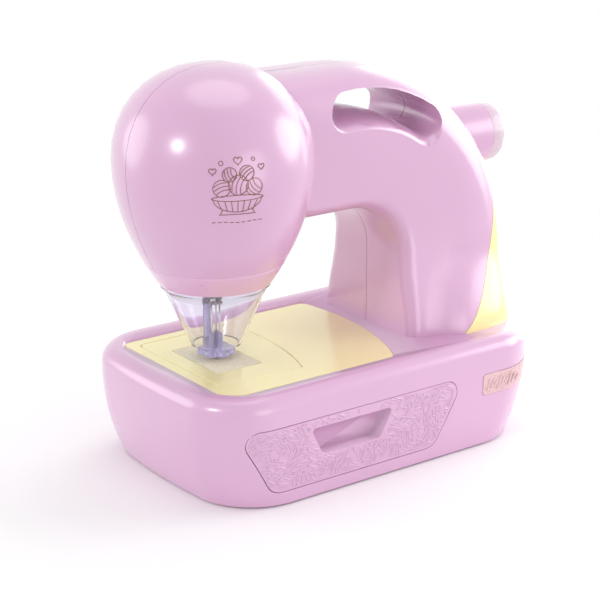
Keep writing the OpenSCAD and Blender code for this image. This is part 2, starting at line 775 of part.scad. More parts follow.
module crank_disc() {
    color(ivory) translate([0, 0, shaft_z]) difference() {
        x_rod(disc_x, disc_x + disc_t, crank_r + pin_r + 2);
        x_rod(disc_x - 1, disc_x + disc_t + 1, shaft_r);
        translate([0, 0, crank_r]) x_rod(disc_x - 1, disc_x + disc_t + 1, pin_r);
    }
}

module crank_pin() {
    color(steel) translate([0, 0, shaft_z + crank_r]) x_rod(disc_x - pin_len, disc_x + disc_t, pin_r);
}

// Gear about the X axis with a tooth, or a gap when turned by half a tooth, pointing down
function gear_point(teeth, r, share, k) = let (a = 360 / teeth * (k + share)) [r * cos(a), r * sin(a)];
module gear(teeth, bore, half_turn) {
    root_r = gear_m * (teeth / 2 - 1.1);
    tip_r = gear_m * (teeth / 2 + 0.8);
    rotate([0, 90, 0]) rotate(half_turn * 180 / teeth) linear_extrude(gear_w) difference() {
        polygon([for (k = [0 : teeth - 1]) each [
            gear_point(teeth, root_r, -0.32, k), gear_point(teeth, tip_r, -0.11, k),
            gear_point(teeth, tip_r, 0.11, k), gear_point(teeth, root_r, 0.32, k)]]);
        circle(r = bore, $fn = 48);
    }
}

module drive_gear() {
    color("#F1F1EC") translate([gear_x, 0, shaft_z]) gear(drive_teeth, shaft_r, 1);
}

module idler_gear() {
    color("#F1F1EC") translate([0, 0, idler_z]) {
        translate([gear_x, 0, 0]) gear(idler_small, axle_r + run_fit, 0);
        translate([large_x, 0, 0]) gear(idler_large, axle_r + run_fit, 1);
        difference() {
            x_rod(gear_x + gear_w, large_x, 4);
            x_rod(gear_x, large_x + 1, axle_r + run_fit);
        }
    }
}

module idler_axle() {
    color(steel) translate([0, 0, idler_z]) x_rod(frame_x, frame_x2 + plate_t, axle_r);
}

module motor_can() {
    flat = motor_r * 0.75;
    color(steel) translate([0, 0, motor_z]) difference() {
        union() {
            intersection() {
                x_rod(frame_x - motor_len, frame_x, motor_r);
                box(frame_x - motor_len, frame_x, -motor_r, motor_r, -flat, flat);
            }
            x_rod(frame_x, frame_x + 2, 3);
        }
        x_rod(frame_x - 6, frame_x + 3, motor_shaft_r + run_fit);
    }
}

module motor_shaft() {
    color(steel) translate([0, 0, motor_z]) x_rod(frame_x - 5, large_x + gear_w + 1, motor_shaft_r);
}

module motor_pinion() {
    color(brass) translate([large_x, 0, motor_z]) gear(pinion_teeth, motor_shaft_r, 0);
}

// Hand wheel: a hollow cap with a round rim and a hub for the shaft
module hand_wheel() {
    rim = 6;
    wall = 2.2;
    hub = shaft_r + 3;
    deep = wheel_len - wall;
    color("#F7E6F0", 0.8) translate([wheel_x, 0, shaft_z]) rotate([0, 90, 0]) rotate_extrude($fn = 96)
        polygon(concat(
            [[shaft_r, 0], [hub, 0], [hub, deep], [wheel_r - wall - 3, deep], [wheel_r - wall, deep - 3],
                [wheel_r - wall, 0], [wheel_r, 0]],
            [for (a = [0 : 15 : 90]) [wheel_r - rim + rim * cos(a), wheel_len - rim + rim * sin(a)]],
            [[0, wheel_len], [0, wheel_bore], [shaft_r, wheel_bore]]));
}

module yoke() {
    color(ivory) translate([0, 0, yoke_z]) difference() {
        box(needle_x - 7, disc_x - 1.5, -yoke_half_w, yoke_half_w, -yoke_half_h, yoke_half_h);
        box(disc_x - pin_len - 1, disc_x, -yoke_slot_w, yoke_slot_w, -yoke_slot_h, yoke_slot_h);
        translate([needle_x, 0, 0]) z_rod(-base_h, base_h, bar_r);
    }
}

module needle_bar() {
    color(steel) translate([needle_x, 0, 0]) z_rod(bar_bottom, bar_top, bar_r);
}

module needle_holder() {
    color("#AFA4AD") difference() {
        translate([needle_x, 0, 0]) z_rod(holder_z, bar_bottom, holder_r);
        needle_places() z_rod(holder_z - 1, holder_z + 4, needle_r);
    }
}

module needles() {
    color("#5B5B63") needle_places() {
        z_rod(tip_z + 3, holder_z + 4, needle_r);
        translate([0, 0, tip_z]) cylinder(r1 = 0.08, r2 = needle_r, h = 3, $fn = 48);
    }
}

module presser_foot() {
    petals = 6;
    tube_r = needle_r + slide_gap + 0.6;
    color(violet, 0.7) difference() {
        union() {
            // Scalloped sole with a slim neck to the presser bar
            translate([needle_x, 0, flange_z]) linear_extrude(flange_t) {
                circle(r = 7, $fn = 64);
                for (k = [0 : petals - 1]) rotate(30 + 360 / petals * k) translate([6, 0])
                    circle(r = 4, $fn = 48);
                translate([-presser_r - 0.5, 0]) square([2 * presser_r + 1, presser_y]);
            }
            translate([needle_x, presser_y, 0]) z_rod(flange_z, flange_z + 7, presser_r + 0.6);
            needle_places() z_rod(flange_z, flange_z + tube_len, tube_r);
        }
        needle_places() z_rod(flange_z - 1, flange_z + tube_len + 1, needle_r + slide_gap);
        translate([needle_x, presser_y, 0]) z_rod(flange_z + 3, flange_z + 8, presser_r);
    }
}

module presser_bar() {
    color(steel) translate([needle_x, presser_y, 0]) {
        z_rod(flange_z + 3, presser_top, presser_r);
        z_rod(clip_z, clip_z + clip_h, presser_r + 1.6);
    }
}

// Presser spring: one wire tube wound round the presser bar
spring_rings = 8;
spring_sides = 6;
spring_pitch = (spring_z1 - spring_z0 - spring_wire) / spring_turns;
function spring_point(k) = let (a = 360 / spring_rings * k)
    [spring_r * cos(a), spring_r * sin(a), spring_z0 + spring_wire / 2 + spring_pitch * k / spring_rings];
function spring_ring(k) = let (a = 360 / spring_rings * k, c = spring_point(k))
    [for (j = [0 : spring_sides - 1]) let (b = -360 / spring_sides * j)
        [c[0] + spring_wire / 2 * cos(b) * cos(a), c[1] + spring_wire / 2 * cos(b) * sin(a),
            c[2] + spring_wire / 2 * sin(b)]];
module presser_spring() {
    last = spring_turns * spring_rings;
    echo(presser_spring_gap = min([for (i = [0 : last - spring_rings / 2], j = [i + spring_rings / 2 : last])
        norm(spring_point(i) - spring_point(j))]) - spring_wire);
    color(steel) translate([needle_x, presser_y, 0]) skin([for (k = [0 : last]) spring_ring(k)]);
}

module power_switch() {
    color("#3C3A3F") difference() {
        box(switch_x - 11, switch_x + 11, switch_y - 10, switch_y, switch_z - 5, switch_z + 5);
        box(switch_x - 6 - switch_travel / 2, switch_x + 6 + switch_travel / 2, switch_y - 4, switch_y + 1,
            switch_z - 2.3, switch_z + 2.3);
    }
}

// Sliding knob of the power switch, at the left end of its travel, with grip grooves
module switch_knob() {
    end = base_d / 2 - side_in(switch_z) + 1.4;
    color(cream) translate([switch_x - switch_travel / 2, 0, switch_z]) difference() {
        box(-4, 4, switch_y - 3.7, end, -2, 2);
        for (k = [-1 : 1]) box(2 * k - 0.4, 2 * k + 0.4, end - 0.6, base_d, -3, 3);
    }
}

module battery_box() {
    color("#4A484E") translate([battery_x, 0, 0]) difference() {
        union() {
            box(-box_half_x, box_half_x, -box_half_y, box_half_y, floor_z, box_top);
            // Flanges at the two ends that rest on the bottom plate
            box(-box_half_x, box_half_x, -box_half_y - 2.4, box_half_y + 2.4, floor_z, floor_z + 2);
        }
        for (s = [0, 1]) mirror([s, 0, 0]) box(0.5, box_half_x - box_wall, box_wall - box_half_y,
            box_half_y - box_wall, floor_z - 1, box_top - box_wall);
    }
}

module battery_cells() {
    nub = 1;
    color("#6F8FB0") for (sx = [-1, 1], sy = [-1, 1])
        translate([battery_x + sx * cell_side, sy * (cell_len / 2 + 0.1), cell_z])
        mirror([0, sx < 0 ? 1 : 0, 0]) {
            y_rod(-cell_len / 2, cell_len / 2 - nub, cell_d / 2, 48);
            y_rod(cell_len / 2 - nub, cell_len / 2, 2.7, 48);
        }
}

module battery_contacts() {
    color(steel) for (sx = [-1, 1], s = [0, 1]) mirror([0, s, 0])
        translate([battery_x + sx * cell_side, 0, cell_z])
            box(-5, 5, cell_len + 0.1, box_half_y - box_wall, -5, 5);
}

module battery_door() {
    color(lilac) translate([battery_x, 0, 0]) difference() {
        box(slide_gap - box_half_x, box_half_x - slide_gap, slide_gap - box_half_y, box_half_y - slide_gap,
            bottom_z, floor_z);
        // Finger grooves across the door
        for (k = [0 : 4]) box(-8, 8, box_half_y - 20 + 2 * k, box_half_y - 19 + 2 * k, 0, bottom_z + 0.5);
    }
}

module screw(z0, len) {
    z_rod(z0, z0 + 1.3, screw_head_r);
    z_rod(z0 + 1.3, z0 + len, screw_r);
}

module base_screws() {
    color(steel) for (sx = [-1, 1], sy = [-1, 1]) translate([sx * boss_x, sy * boss_y, 0])
        screw(bottom_z + 0.1, 11);
}

module shell_screws() {
    color(steel) for (p = shell_screw_at) translate([p[0], 0, p[1]]) {
        y_rod(screw_seat_y, screw_seat_y + 2.1, screw_head_r);
        y_rod(-screw_seat_y - 3, screw_seat_y + eps, screw_r);
    }
}

base_shell();
bottom_plate();
rubber_feet();
bed_plate();
needle_plate();
felting_mat();
tag_plate();
drawer_front();
drawer_tray();
front_shell();
rear_shell();
end_cover();
head_collar();
needle_guard();
head_frame();
gear_frame();
shaft_bushes();
main_shaft();
crank_disc();
crank_pin();
drive_gear();
hand_wheel();
idler_gear();
idler_axle();
motor_can();
motor_shaft();
motor_pinion();
yoke();
needle_bar();
needle_holder();
needles();
presser_foot();
presser_bar();
presser_spring();
power_switch();
switch_knob();
battery_box();
battery_cells();
battery_contacts();
battery_door();
base_screws();
shell_screws();
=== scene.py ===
"""Looks of a toy sewing machine with a balloon-shaped head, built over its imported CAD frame."""

import json
import math
import random

import bmesh
import bpy
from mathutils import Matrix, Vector
from mathutils.bvhtree import BVHTree
from mathutils.kdtree import KDTree

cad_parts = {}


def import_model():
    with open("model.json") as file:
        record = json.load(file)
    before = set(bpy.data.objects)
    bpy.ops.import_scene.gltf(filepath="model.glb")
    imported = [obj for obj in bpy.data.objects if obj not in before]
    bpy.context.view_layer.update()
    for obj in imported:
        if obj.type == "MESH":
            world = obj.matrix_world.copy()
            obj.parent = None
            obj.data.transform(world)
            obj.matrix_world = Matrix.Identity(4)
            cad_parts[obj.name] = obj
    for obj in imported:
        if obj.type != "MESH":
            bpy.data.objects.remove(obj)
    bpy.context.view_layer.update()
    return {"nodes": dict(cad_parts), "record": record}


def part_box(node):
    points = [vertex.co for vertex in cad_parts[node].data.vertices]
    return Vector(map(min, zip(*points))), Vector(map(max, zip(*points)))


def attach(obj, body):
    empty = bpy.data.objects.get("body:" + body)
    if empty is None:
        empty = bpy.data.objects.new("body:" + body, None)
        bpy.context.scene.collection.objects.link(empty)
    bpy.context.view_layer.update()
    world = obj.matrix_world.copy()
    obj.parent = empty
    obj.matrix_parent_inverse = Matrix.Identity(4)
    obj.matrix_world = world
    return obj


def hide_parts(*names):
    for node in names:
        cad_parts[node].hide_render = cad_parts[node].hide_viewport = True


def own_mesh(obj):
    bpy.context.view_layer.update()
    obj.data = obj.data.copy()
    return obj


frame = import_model()
NODES = frame["nodes"]
BODY = {n: b for b, names in frame["record"]["behaviour"]["bodies"].items() for n in names}
SLOT = {s["node"]: s["material_slot"] for s in frame["record"]["subparts"]}
MM = 0.001


# Materials

def srgb(r, g, b):
    """Linear colour of an sRGB colour given in 0 to 255."""
    return tuple(c / 3294.6 if c <= 10.3 else ((c / 255 + 0.055) / 1.055) ** 2.4 for c in (r, g, b))


class Nodes:
    """A material's node tree with short calls to add and join nodes."""

    def __init__(self, name):
        self.mat = bpy.data.materials.new(name)
        self.mat.use_nodes = True
        self.tree = self.mat.node_tree
        self.shader = self.tree.nodes["Principled BSDF"]
        self.coord = self.add("ShaderNodeTexCoord").outputs["Object"]

    def add(self, kind, values=None, links=None, **props):
        n = self.tree.nodes.new(kind)
        for k, v in props.items():
            setattr(n, k, v)
        for k, v in (values or {}).items():
            n.inputs[k].default_value = v
        for k, v in (links or {}).items():
            self.tree.links.new(v, n.inputs[k])
        return n

    def noise(self, scale, detail=3.0, rough=0.5, distortion=0.0):
        return self.add("ShaderNodeTexNoise", {"Scale": scale, "Detail": detail, "Roughness": rough,
                        "Distortion": distortion}, {"Vector": self.coord}).outputs["Fac"]

    def ramp(self, fac, *stops):
        n = self.add("ShaderNodeValToRGB", links={"Fac": fac})
        while len(n.color_ramp.elements) < len(stops):
            n.color_ramp.elements.new(0.5)
        for e, (p, c) in zip(n.color_ramp.elements, stops):
            e.position = p
            e.color = (*c, 1)
        return n.outputs["Color"]

    def span(self, fac, low, high):
        values = {"To Min": low, "To Max": high}
        return self.add("ShaderNodeMapRange", values, {"Value": fac}).outputs["Result"]

    def bump(self, height, distance, strength=1.0):
        values = {"Distance": distance, "Strength": strength}
        return self.add("ShaderNodeBump", values, {"Height": height}).outputs["Normal"]

    def link(self, **sockets):
        for k, v in sockets.items():
            self.tree.links.new(v, self.shader.inputs[k.replace("_", " ")])

    def set(self, **sockets):
        for k, v in sockets.items():
            self.shader.inputs[k.replace("_", " ")].default_value = v


def tint(c, k):
    """A colour made k times as bright."""
    return tuple(min(1.0, v * k) for v in c)


def plastic(name, colour, rough=0.3, vary=0.012, grain=0.000004, scale=700, **sockets):
    """Moulded plastic: slow changes of tone, a fine grain and slightly uneven gloss."""
    m = Nodes(name)
    slow = m.noise(22, 2)
    fine = m.noise(scale, 4, 0.6)
    m.link(Base_Color=m.ramp(slow, (0.3, tint(colour, 1 - vary)), (0.7, tint(colour, 1 + vary))),
           Roughness=m.span(m.noise(90, 3), rough - 0.02, rough + 0.02), Normal=m.bump(fine, grain))
    m.set(**sockets)
    return m.mat


def metal(name, colour, rough=0.25):
    """Plated metal with a slightly cloudy finish and fine scratches."""
    m = Nodes(name)
    cloud = m.noise(120, 3, 0.5)
    fine = m.noise(2500, 4, 0.65)
    m.link(Base_Color=m.ramp(cloud, (0.3, tint(colour, 0.94)), (0.7, tint(colour, 1.05))),
           Roughness=m.span(fine, rough - 0.05, rough + 0.08), Normal=m.bump(fine, 0.000002))
    m.set(Metallic=1.0)
    return m.mat


def clear(name, colour, rough, ior, share, grain=0.00001):
    """Clear moulded plastic with faint flow marks."""
    m = Nodes(name)
    flow = m.noise(45, 2, 0.5, 1.5)
    m.link(Base_Color=m.ramp(flow, (0.35, tint(colour, 0.97)), (0.65, tint(colour, 1.02))),
           Roughness=m.span(m.noise(300, 2), rough, rough + 0.03), Normal=m.bump(flow, grain))
    m.set(Transmission_Weight=share, IOR=ior)
    return m.mat


LILAC = srgb(217, 171, 206)
CREAM = srgb(251, 239, 166)
GLOSS = {"Coat_Weight": 1.0, "Coat_Roughness": 0.2, "IOR": 1.6}
MATS = {
    "lilac": plastic("lilac_shell", LILAC, 0.3, **GLOSS),
    "rim": plastic("lilac_rim", srgb(222, 176, 209), 0.28, **GLOSS),
    "under": plastic("lilac_under", LILAC, 0.42, grain=0.00003),
    "cream": plastic("cream_panel", CREAM, 0.3, **GLOSS),
    "tag": plastic("pink_tag", srgb(226, 190, 194), 0.38, grain=0.00002),
    "knob": plastic("pearl_knob", srgb(246, 224, 238), 0.22, Transmission_Weight=0.35),
    "ivory": plastic("ivory_plastic", srgb(232, 226, 212), 0.4, grain=0.00002),
    "grey": plastic("grey_holder", srgb(165, 155, 166), 0.35),
    "dark": plastic("dark_plastic", srgb(62, 60, 66), 0.45, grain=0.00005),
    "rubber": plastic("rubber_foot", srgb(120, 114, 122), 0.75, 0.06, 0.00008, 1600),
    "jacket": plastic("cell_jacket", srgb(110, 142, 178), 0.35),
    "print": plastic("brown_print", srgb(150, 92, 74), 0.5, 0.06),
    "guard": clear("clear_guard", srgb(243, 240, 250), 0.04, 1.4, 0.96),
    "violet": clear("clear_violet", srgb(222, 216, 248), 0.1, 1.3, 0.6),
    "steel": metal("drawn_steel", srgb(196, 197, 204)),
    "brass": metal("turned_brass", srgb(214, 180, 104), 0.28),
}


def foam():
    """Open foam of the felting mat."""
    m = Nodes("mat_foam")
    cells = m.add("ShaderNodeTexVoronoi", {"Scale": 900.0}, {"Vector": m.coord}).outputs["Distance"]
    m.link(Base_Color=m.ramp(cells, (0.1, srgb(226, 216, 188)), (0.6, srgb(242, 234, 210))),
           Normal=m.bump(cells, 0.00015, 0.7))
    m.set(Roughness=0.9)
    return m.mat


MATS["foam"] = foam()

LOOK = {"lilac_shell": "lilac", "lilac_plain": "under", "pale_rim": "rim", "cream_panel": "cream",
        "mat_foam": "foam", "pink_tag": "tag", "clear_guard": "guard", "pearl_knob": "knob",
        "violet_clear": "violet", "rubber": "rubber", "ivory_plastic": "ivory", "steel": "steel",
        "brass": "brass", "grey_plastic": "grey", "dark_plastic": "dark", "cell_jacket": "jacket"}
for n, o in NODES.items():
    o.data.materials.clear()
    o.data.materials.append(MATS[LOOK[SLOT[n]]])


# Smooth surfaces of the moulded forms, as in the CAD, in millimetres

BEND = (4.5, 107.0)
BEND_R, TOP_R, SIDE_R = 30.0, 105.0, 110.0
BED_Z, NEEDLE_X, SHAFT_Z = 62.0, -67.5, 160.9
HEAD_R, RIM_R, MID_Z, LOW_H, TOP_H, CROWN = 52.6, 30.0, 170.0, 65.0, 50.0, 0.91
HEAD_POW, HEAD_LOW_Z = 1.95, 104
COLLAR_R, COLLAR_X = 18, 70
SPRING_R, SPRING_Y, SPRING_WIRE, SPRING_TURNS, FOOT_LIFT = 2.85, 8.5, 0.7, 6, 4
BASE_W, BASE_D, CORNER_R, BOW, EDGE_R, BOTTOM_Z = 217.0, 139.0, 30.0, 5.5, 8.0, 0.7
END_IN, SIDE_IN, END_POW, SIDE_POW = 11.0, 3.2, 2.3, 2.9
INNER_V, FLANK_V = 0.15, 0.45
CORNER_SHARE = 0.3
SHARP_ANGLE = math.radians(32)
EDGE_Z = BED_Z - EDGE_R


def mix(a, b, t):
    return a + (b - a) * t


def ease(t):
    return t * t * (3 - 2 * t)


def half_section(v, h, inner, outer, corner, crown, power):
    """Point of half an arm section: distance out and half thickness, for v from 0 at the inside to 1."""
    if v < INNER_V:
        a = math.radians(mix(180, 90, v / INNER_V))
        return corner + corner * math.cos(a), inner - corner + corner * math.sin(a)
    if v < FLANK_V:
        k = (v - INNER_V) / 0.3
        return mix(corner, h - crown, k), mix(inner, outer, ease(k))
    a = math.radians(mix(0, 90, (v - FLANK_V) / 0.55))
    return h - crown + crown * math.sin(a) ** power, outer * max(0.0, math.cos(a)) ** power


def arm_point(t, v, side):
    """Point of the arm's skin: t runs from the head (0) over the bend (1 to 2) to the bed (3)."""
    if t < 1:
        x, z, a, w = mix(NEEDLE_X, BEND[0], t), BEND[1] + BEND_R, 90.0, 0.0
    elif t < 2:
        a = mix(90, 0, t - 1)
        x = BEND[0] + BEND_R * math.cos(math.radians(a))
        z = BEND[1] + BEND_R * math.sin(math.radians(a))
        w = 0.3 * (1 - a / 90) ** 2.5
    else:
        x, z, a, w = BEND[0] + BEND_R, mix(BEND[1], BED_Z, t - 2), 0.0, 0.3 + 0.7 * ease(min(t - 2, 1))
    r = math.radians(a)
    far = mix(SIDE_R, TOP_R, math.sin(r)) - 1.5 * w - BEND_R
    u, y = half_section(v, far, mix(31, 41, w), mix(32, 52, w), mix(9, 7, w), mix(28, 46, w),
                        mix(0.67, 0.56, w))
    return Vector((x + u * math.cos(r), side * y, z + u * math.sin(r)))


def base_point(k, z):
    """Point of the base's wall at share k of its way round, at height z, with its top edge rounded."""
    off = 0.0
    if z > EDGE_Z:
        off = EDGE_R - math.sqrt(max(0.0, EDGE_R ** 2 - (z - EDGE_Z) ** 2))
    share = max(0.0, EDGE_Z - z) / (EDGE_Z - BOTTOM_Z)
    hx = BASE_W / 2 - END_IN * share ** END_POW - off
    hy = BASE_D / 2 - SIDE_IN * share ** SIDE_POW - off
    c = max(CORNER_R - off, 4)
    q, f = divmod(k * 4, 1)
    sx, sy, a0 = ((1, 1, 0), (-1, 1, 90), (-1, -1, 180), (1, -1, 270))[int(q) % 4]
    if f < CORNER_SHARE:
        a = math.radians(a0 + 90 * f / CORNER_SHARE)
        x, y = sx * (hx - c) + c * math.cos(a), sy * (hy - c) + c * math.sin(a)
    else:
        g = (f - CORNER_SHARE) / 0.7
        along_x = int(q) % 2 == 0
        x = mix(hx - c, c - hx, g) * sx if along_x else sx * hx
        y = sy * hy if along_x else mix(hy - c, c - hy, g) * sy
    x += math.copysign(BOW * (abs(x) / hx) ** 4 * (1 - (y / hy) ** 2), x)
    return Vector((x, y, z))


def field(point, us, vs):
    """Sample points and normals of a surface, for looking up the nearest normal."""
    d = 1e-3
    pts, normals = [], []
    for u in us:
        for v in vs:
            p = point(u, v)
            n = (point(u + d, v) - point(u - d, v)).cross(point(u, v + d) - point(u, v - d))
            if n.length > 1e-9:
                pts.append(p)
                normals.append(n.normalized())
    tree = KDTree(len(pts))
    for i, p in enumerate(pts):
        tree.insert(p, i)
    tree.balance()
    return tree, normals


def steps(a, b, n):
    return [a + (b - a) * (i + 0.5) / n for i in range(n)]


ARM_FIELDS = [field(lambda t, v, s=s: arm_point(t, v, s),
              steps(0.002, 1, 40) + steps(1, 2, 120) + steps(2, 3.1, 60),
              steps(0.002, INNER_V, 12) + steps(INNER_V, FLANK_V, 30) + steps(FLANK_V, 0.996, 70))
              for s in (-1, 1)]
BASE_FIELD = [field(base_point, steps(0.001, 0.999, 600),
              steps(BOTTOM_Z + 0.5, EDGE_Z, 40) + steps(EDGE_Z, BED_Z - 0.05, 24))]


def near(fields, reach):
    def look(p, flat):
        best = None
        for tree, normals in fields:
            _, i, dist = tree.find(p)
            n = normals[i]
            n = n if n.dot(flat) > 0 else -n
            if dist < reach and (best is None or dist < best[0]):
                best = (dist, n)
        return best[1] if best else None
    return look


def head_look(p, flat):
    rho = math.hypot(p.x - NEEDLE_X, p.y)
    if p.z >= MID_Z:
        n_pow = 2 / CROWN
        a, b = rho / HEAD_R, (p.z - MID_Z) / TOP_H
        if abs(a ** n_pow + b ** n_pow - 1) > 0.03:
            return None
        gr, gz = a ** (n_pow - 1) / HEAD_R, b ** (n_pow - 1) / TOP_H
    else:
        s = (MID_Z - p.z) / LOW_H
        if p.z < HEAD_LOW_Z or abs(rho - HEAD_R + (HEAD_R - RIM_R) * s ** HEAD_POW) > 0.3:
            return None
        gr, gz = 1.0, -(HEAD_R - RIM_R) * HEAD_POW * s ** 0.95 / LOW_H
    if rho < 1e-6:
        return Vector((0, 0, 1))
    return Vector((gr * (p.x - NEEDLE_X) / rho, gr * p.y / rho, gz)).normalized()


def collar_look(p, flat):
    d = math.hypot(p.y, p.z - SHAFT_Z)
    on_collar = p.x > COLLAR_X and abs(d - COLLAR_R) < 0.15
    return Vector((0, p.y, p.z - SHAFT_Z)).normalized() if on_collar else None


def dress(node, looks=(), bevel=0):
    """A smooth copy of a CAD node that stands for it: welded, its round faces shaded as they are moulded."""
    o = bpy.data.objects.new(node + "_skin", NODES[node].data.copy())
    bpy.context.collection.objects.link(o)
    me = o.data
    bm = bmesh.new()
    bm.from_mesh(me)
    bmesh.ops.remove_doubles(bm, verts=bm.verts, dist=2e-6)
    if bevel:
        bmesh.ops.dissolve_limit(bm, angle_limit=math.radians(0.5), verts=bm.verts, edges=bm.edges)
        edges = [e for e in bm.edges if len(e.link_faces) == 2 and e.calc_face_angle(0) > math.radians(40)]
        bmesh.ops.bevel(bm, geom=edges, offset=bevel * MM, segments=2, affect="EDGES", clamp_overlap=True)
    bm.to_mesh(me)
    bm.free()
    me.shade_smooth()
    me.set_sharp_from_angle(angle=SHARP_ANGLE)
    if looks:
        custom = [Vector((0, 0, 0))] * len(me.loops)
        auto = [c.vector.copy() for c in me.corner_normals]
        for poly in me.polygons:
            for li in poly.loop_indices:
                p = me.vertices[me.loops[li].vertex_index].co / MM
                for look in looks:
                    n = look(p, poly.normal)
                    if n is not None and n.dot(poly.normal) > 0.95:
                        custom[li] = n
                        break
                else:
                    custom[li] = auto[li]
        me.normals_split_custom_set(custom)
    slot = SLOT[node]
    me.materials.clear()
    me.materials.append(MATS[LOOK[slot]])
    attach(o, BODY[node])
    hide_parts(node)
    return o


arm_look, base_look = near(ARM_FIELDS, 1.6), near(BASE_FIELD, 1.6)
for n in ("front_shell", "rear_shell"):
    dress(n, (head_look, collar_look, arm_look))
dress("end_cover", (arm_look,))
dress("base_shell", (base_look,))
dress("drawer_front", (base_look,))
dress("tag_plate", (base_look,))
dress("presser_bar")
for n in ("head_collar", "needle_guard", "hand_wheel", "needle_holder", "needles", "presser_foot",
          "needle_bar", "crank_disc", "main_shaft", "motor_can", "rubber_feet", "battery_cells"):
    dress(n).visible_shadow = n != "needle_guard"  # light falls in through the clear guard
for n in ("bed_plate", "needle_plate", "felting_mat", "switch_knob", "drawer_tray"):
    dress(n, bevel=0.25)


# Raised fibres on the drawer front and the tag, and the print on the head

def strands(name, paths, radius, mat, node):
    """Thin round lines through lists of points in millimetres, as one mesh on the node's body."""
    cu = bpy.data.curves.new(name, "CURVE")
    cu.dimensions, cu.bevel_depth, cu.bevel_resolution, cu.use_fill_caps = "3D", radius * MM, 1, True
    for path in paths:
        sp = cu.splines.new("POLY")
        sp.points.add(len(path) - 1)
        for q, p in zip(sp.points, path):
            q.co = (*(p * MM), 1)
    tmp = bpy.data.objects.new(name + "_line", cu)
    bpy.context.collection.objects.link(tmp)
    bpy.context.view_layer.update()
    me = bpy.data.meshes.new_from_object(tmp.evaluated_get(bpy.context.evaluated_depsgraph_get()))
    bpy.data.objects.remove(tmp)
    o = bpy.data.objects.new(name, me)
    bpy.context.collection.objects.link(o)
    me.shade_smooth()
    me.materials.clear()
    me.materials.append(MATS[mat])
    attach(o, BODY[node])
    return o


def spring():
    """The presser spring as a round wire wound about the presser bar."""
    low, high = (c / MM for c in (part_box("presser_spring")[0][2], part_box("presser_spring")[1][2]))
    wire, around = SPRING_WIRE, 28
    rise = (high - low - wire) / SPRING_TURNS
    path = []
    for i in range(SPRING_TURNS * around + 1):
        a = 2 * math.pi * i / around
        path.append(Vector((NEEDLE_X + SPRING_R * math.cos(a), SPRING_Y + SPRING_R * math.sin(a),
                            low + wire / 2 + rise * i / around)))
    o = strands("presser_spring_wire", [path], wire / 2, "steel", "presser_spring")
    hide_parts("presser_spring")
    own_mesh(o)


spring()


def surface(node):
    me = NODES[node].data
    return BVHTree.FromPolygons([v.co / MM for v in me.vertices], [p.vertices[:] for p in me.polygons])


def fibres(name, node, mat, box, centres, count, length, radius, sink, seed):
    """Short curved fibres, turning about a few centres, on the front of a node but not in its recess."""
    rnd = random.Random(seed)
    tree = surface(node)
    ray = Vector((0, 1, 0))
    paths = []

    def land(u, z):
        hit, n, _, _ = tree.ray_cast(Vector((u, -200, z)), ray)
        return (hit, n) if hit and n.y < -0.6 and hit.y < -63.5 else (None, None)

    for _ in range(count):
        u, z = rnd.uniform(box[0], box[1]), rnd.uniform(box[2], box[3])
        cu, cz = min(centres, key=lambda c: (c[0] - u) ** 2 + (c[1] - z) ** 2)
        a = math.atan2(z - cz, u - cu) + math.pi / 2 + rnd.gauss(0, 0.4)
        bend = rnd.uniform(-0.22, 0.22)
        path = []
        for _ in range(7):
            spots = [land(u + du, z + dz) for du, dz in ((0, 0), (0.9, 0), (-0.9, 0), (0, 0.9), (0, -0.9))]
            hit, n = spots[0]
            if any(s[0] is None or abs((s[0] - (hit or s[0])).dot(ray)) > 1.0 for s in spots):
                break
            path.append(hit - n * sink)
            u += math.cos(a) * length / 6
            z += math.sin(a) * length / 6
            a += bend
        if len(path) > 2:
            paths.append(path)
    strands(name, paths, radius, mat, node)


fibres("drawer_fibres", "drawer_front", "lilac", (-94, 44, 9.5, 45),
       [(-78, 30), (-52, 14), (-26, 16), (-2, 40), (16, 20), (32, 34)], 900, 7.5, 0.56, 0.14, 3)
fibres("tag_fibres", "tag_plate", "tag", (63, 96, 32, 43), [(68, 62), (86, 12)], 90, 4.5, 0.36, 0.14, 8)


PRINT_Z, PRINT_TURN = 165.0, math.radians(-110.5)


def head_radius(z):
    if z < MID_Z:
        return HEAD_R - (HEAD_R - RIM_R) * ((MID_Z - z) / LOW_H) ** HEAD_POW
    n = 2 / CROWN
    return HEAD_R * max(0.0, 1 - ((z - MID_Z) / TOP_H) ** n) ** (1 / n)


def on_head(u, v):
    """Point of the head's skin for a place in the print: u to the right and v upwards, in millimetres."""
    z = PRINT_Z + v
    r = head_radius(z) + 0.02
    a = PRINT_TURN + u / HEAD_R
    return Vector((NEEDLE_X + r * math.cos(a), r * math.sin(a), z))


def loop(cx, cy, rx, ry, a0=0, a1=360, n=28):
    out = []
    for i in range(n + 1):
        a = math.radians(mix(a0, a1, i / n))
        out.append((cx + rx * math.cos(a), cy + ry * math.sin(a)))
    return out


def line(*pts):
    out = []
    for (x0, y0), (x1, y1) in zip(pts, pts[1:]):
        n = max(2, int(math.hypot(x1 - x0, y1 - y0) / 1.2))
        out += [(mix(x0, x1, i / n), mix(y0, y1, i / n)) for i in range(n + 1)]
    return out


def heart(cx, cy, s):
    return [(cx + s * 0.062 * 16 * math.sin(t) ** 3, cy + s * 0.062 * (13 * math.cos(t) - 5 * math.cos(2 * t)
             - 2 * math.cos(3 * t) - math.cos(4 * t))) for t in (math.pi * i / 14 for i in range(29))]


